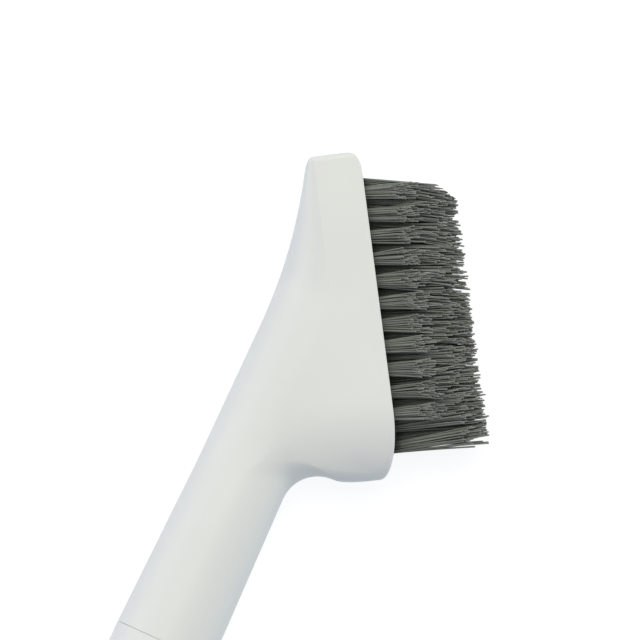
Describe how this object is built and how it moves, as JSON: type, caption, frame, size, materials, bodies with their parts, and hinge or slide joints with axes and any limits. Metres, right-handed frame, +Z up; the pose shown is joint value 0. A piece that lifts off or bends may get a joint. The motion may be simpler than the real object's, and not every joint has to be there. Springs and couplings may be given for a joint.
{
  "type": "vacuum roller cleaning brush",
  "caption": "White angled hand brush with grey bristles trimmed to a ridge, and a round handle whose tail pulls out of the neck with a forked hair cutter on it.",
  "frame": {"origin": "middle of the bounding box on the surface that the brush lies on, on its side", "axes": "+X along the handle from tail to head, +Y to the back of the head, away from the bristles, +Z up, across the thickness"},
  "size_m": [0.2216, 0.064, 0.024],
  "materials": {
    "white_plastic": "fine satin",
    "dark_plastic": "matt",
    "bristle": "satin",
    "grey_plastic": "satin",
    "steel": "ground"
  },
  "bodies": {
    "brush": {"head_shell": "white_plastic", "tuft_plate": "dark_plastic", "bristle_column_1": "bristle", "bristle_column_2": "bristle", "bristle_column_3": "bristle", "bristle_column_4": "bristle", "tuft_anchor_1_1": "steel", "tuft_anchor_1_2": "steel", "tuft_anchor_1_3": "steel", "tuft_anchor_1_4": "steel", "tuft_anchor_1_5": "steel", "tuft_anchor_1_6": "steel", "tuft_anchor_1_7": "steel", "tuft_anchor_1_8": "steel", "tuft_anchor_1_9": "steel", "tuft_anchor_1_10": "steel", "tuft_anchor_1_11": "steel", "tuft_anchor_2_1": "steel", "tuft_anchor_2_2": "steel", "tuft_anchor_2_3": "steel", "tuft_anchor_2_4": "steel", "tuft_anchor_2_5": "steel", "tuft_anchor_2_6": "steel", "tuft_anchor_2_7": "steel", "tuft_anchor_2_8": "steel", "tuft_anchor_2_9": "steel", "tuft_anchor_2_10": "steel", "tuft_anchor_2_11": "steel", "tuft_anchor_2_12": "steel", "tuft_anchor_2_13": "steel", "tuft_anchor_3_1": "steel", "tuft_anchor_3_2": "steel", "tuft_anchor_3_3": "steel", "tuft_anchor_3_4": "steel", "tuft_anchor_3_5": "steel", "tuft_anchor_3_6": "steel", "tuft_anchor_3_7": "steel", "tuft_anchor_3_8": "steel", "tuft_anchor_3_9": "steel", "tuft_anchor_3_10": "steel", "tuft_anchor_3_11": "steel", "tuft_anchor_3_12": "steel", "tuft_anchor_4_1": "steel", "tuft_anchor_4_2": "steel", "tuft_anchor_4_3": "steel", "tuft_anchor_4_4": "steel", "tuft_anchor_4_5": "steel", "tuft_anchor_4_6": "steel", "tuft_anchor_4_7": "steel", "tuft_anchor_4_8": "steel", "tuft_anchor_4_9": "steel", "tuft_anchor_4_10": "steel", "tuft_anchor_4_11": "steel"},
    "tail": {"tail_grip": "white_plastic", "cutter_stem": "grey_plastic", "cutter_blade": "steel", "blade_pin_1": "steel", "blade_pin_2": "steel"}
  },
  "joints": [
    {"name": "tail_pull", "type": "slide", "parent": "brush", "child": "tail", "axis": [-1, 0, 0], "range_m": [0, 0.066]}
  ]
}
